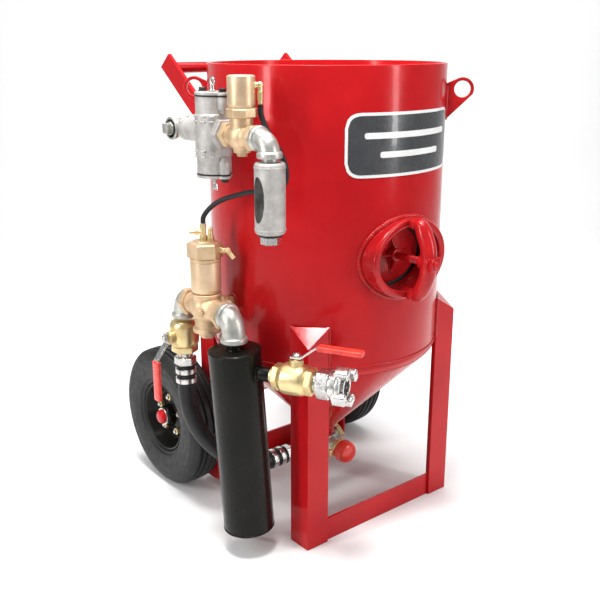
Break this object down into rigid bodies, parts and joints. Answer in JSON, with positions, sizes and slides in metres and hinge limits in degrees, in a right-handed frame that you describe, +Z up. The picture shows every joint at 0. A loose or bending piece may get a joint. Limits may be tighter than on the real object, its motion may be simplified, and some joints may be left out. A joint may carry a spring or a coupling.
{
  "type": "abrasive blast pot",
  "caption": "Portable pressurised abrasive blast vessel on angle-iron legs and two wheels, with remote-control air valves, moisture separator, handhole, push handle and lifting lugs.",
  "frame": {"origin": "middle of the footprint, on the floor", "axes": "+Z up, -Y towards the handhole side, +Y towards the wheels and the push handle, +X to the right seen from the handhole side"},
  "size_m": [0.84, 0.93, 1.217],
  "materials": {
    "pot_red": "glossy red enamel over steel",
    "black_paint": "gloss black paint",
    "bronze": "as-cast bronze, satin",
    "brass": "machined and forged brass",
    "galvanised": "galvanised malleable iron, satin",
    "aluminium": "cast aluminium, fine grain",
    "steel": "zinc-plated steel",
    "rubber": "black rubber, satin",
    "tyre": "moulded tyre rubber",
    "vinyl": "dipped red vinyl"
  },
  "bodies": {
    "tank": {"vessel_shell": "pot_red", "top_head": "pot_red", "fill_port_seat": "rubber", "bottom_cone": "pot_red", "air_inlet_pipe": "galvanised", "handhole_collar": "pot_red", "left_front_leg": "pot_red", "right_front_leg": "pot_red", "left_rear_leg": "pot_red", "right_rear_leg": "pot_red", "front_foot_rail": "pot_red", "rear_foot_rail": "pot_red", "axle": "steel", "left_handle_arm": "pot_red", "right_handle_arm": "pot_red", "handle_grip": "pot_red", "right_lifting_lug": "pot_red", "left_lifting_lug": "pot_red", "exhaust_tee": "galvanised", "trap_body": "aluminium", "trap_top_cover": "steel", "trap_bottom_cover": "steel", "outlet_valve_body": "bronze", "outlet_valve_cylinder": "bronze", "exhaust_elbow": "galvanised", "muffler_body": "aluminium", "muffler_plug": "galvanised", "main_valve_body": "bronze", "main_valve_cylinder": "bronze", "main_valve_cap": "brass", "main_valve_nipple": "brass", "separator_elbow": "galvanised", "pusher_elbow": "galvanised", "separator_tank": "black_paint", "inlet_valve_body": "brass", "inlet_coupling": "galvanised", "pusher_valve_body": "brass", "hose_adapter": "galvanised", "pusher_hose": "rubber", "hose_fitting": "galvanised", "metering_valve_body": "galvanised", "blast_hose_coupling": "brass", "control_hose": "rubber"},
    "left_wheel": {"left_tyre": "tyre", "left_wheel_rim": "black_paint"},
    "right_wheel": {"right_tyre": "tyre", "right_wheel_rim": "black_paint"},
    "inlet_valve_lever": {"inlet_lever": "steel", "inlet_grip": "vinyl"},
    "pusher_valve_lever": {"pusher_lever": "steel", "pusher_grip": "vinyl"},
    "filling_valve": {"popup_valve": "rubber"},
    "cover": {"handhole_cover": "pot_red", "handhole_gasket": "rubber"},
    "yoke": {"handhole_yoke": "pot_red"},
    "cover_nut": {"handhole_nut": "pot_red"},
    "top_trap_screw": {"trap_top_screw": "steel"},
    "bottom_trap_screw": {"trap_bottom_screw": "steel"},
    "knob": {"metering_knob": "black_paint"},
    "cap": {"coupling_cap": "vinyl"}
  },
  "joints": [
    {"name": "left_wheel_spin", "type": "hinge", "parent": "tank", "child": "left_wheel", "pos_m": [-0.254, 0.262, 0.203], "axis": [1, 0, 0], "continuous": true},
    {"name": "right_wheel_spin", "type": "hinge", "parent": "tank", "child": "right_wheel", "pos_m": [0.37, 0.262, 0.203], "axis": [1, 0, 0], "continuous": true},
    {"name": "inlet_lever_turn", "type": "hinge", "parent": "tank", "child": "inlet_valve_lever", "pos_m": [-0.25095, -0.31104, 0.491], "axis": [0, 0, 1], "range_deg": [-90, 0]},
    {"name": "pusher_lever_turn", "type": "hinge", "parent": "tank", "child": "pusher_valve_lever", "pos_m": [-0.327, 0.059, 0.52], "axis": [1, 0, 0], "range_deg": [0, 90]},
    {"name": "filling_valve_lift", "type": "slide", "parent": "tank", "child": "filling_valve", "axis": [0, 0, 1], "range_m": [0, 0.0345]},
    {"name": "cover_push", "type": "slide", "parent": "tank", "child": "cover", "axis": [0, 1, 0], "range_m": [0, 0.02]},
    {"name": "yoke_turn", "type": "hinge", "parent": "tank", "child": "yoke", "pos_m": [0.05, -0.443, 0.748], "axis": [0, 1, 0], "range_deg": [-90, 90]},
    {"name": "cover_nut_turn", "type": "hinge", "parent": "tank", "child": "cover_nut", "pos_m": [0.05, -0.453, 0.748], "axis": [0, 1, 0], "continuous": true},
    {"name": "top_screw_turn", "type": "hinge", "parent": "tank", "child": "top_trap_screw", "pos_m": [-0.317, -0.09, 1.15], "axis": [0, 0, 1], "continuous": true},
    {"name": "bottom_screw_turn", "type": "hinge", "parent": "tank", "child": "bottom_trap_screw", "pos_m": [-0.317, -0.09, 0.94], "axis": [0, 0, 1], "continuous": true},
    {"name": "metering_knob_turn", "type": "hinge", "parent": "tank", "child": "knob", "pos_m": [0.058, 0.027, 0.14], "axis": [0, 1, 0], "range_deg": [0, 270]},
    {"name": "cap_pull", "type": "slide", "parent": "tank", "child": "cap", "axis": [0, -1, 0], "range_m": [0, 0.05]}
  ]
}
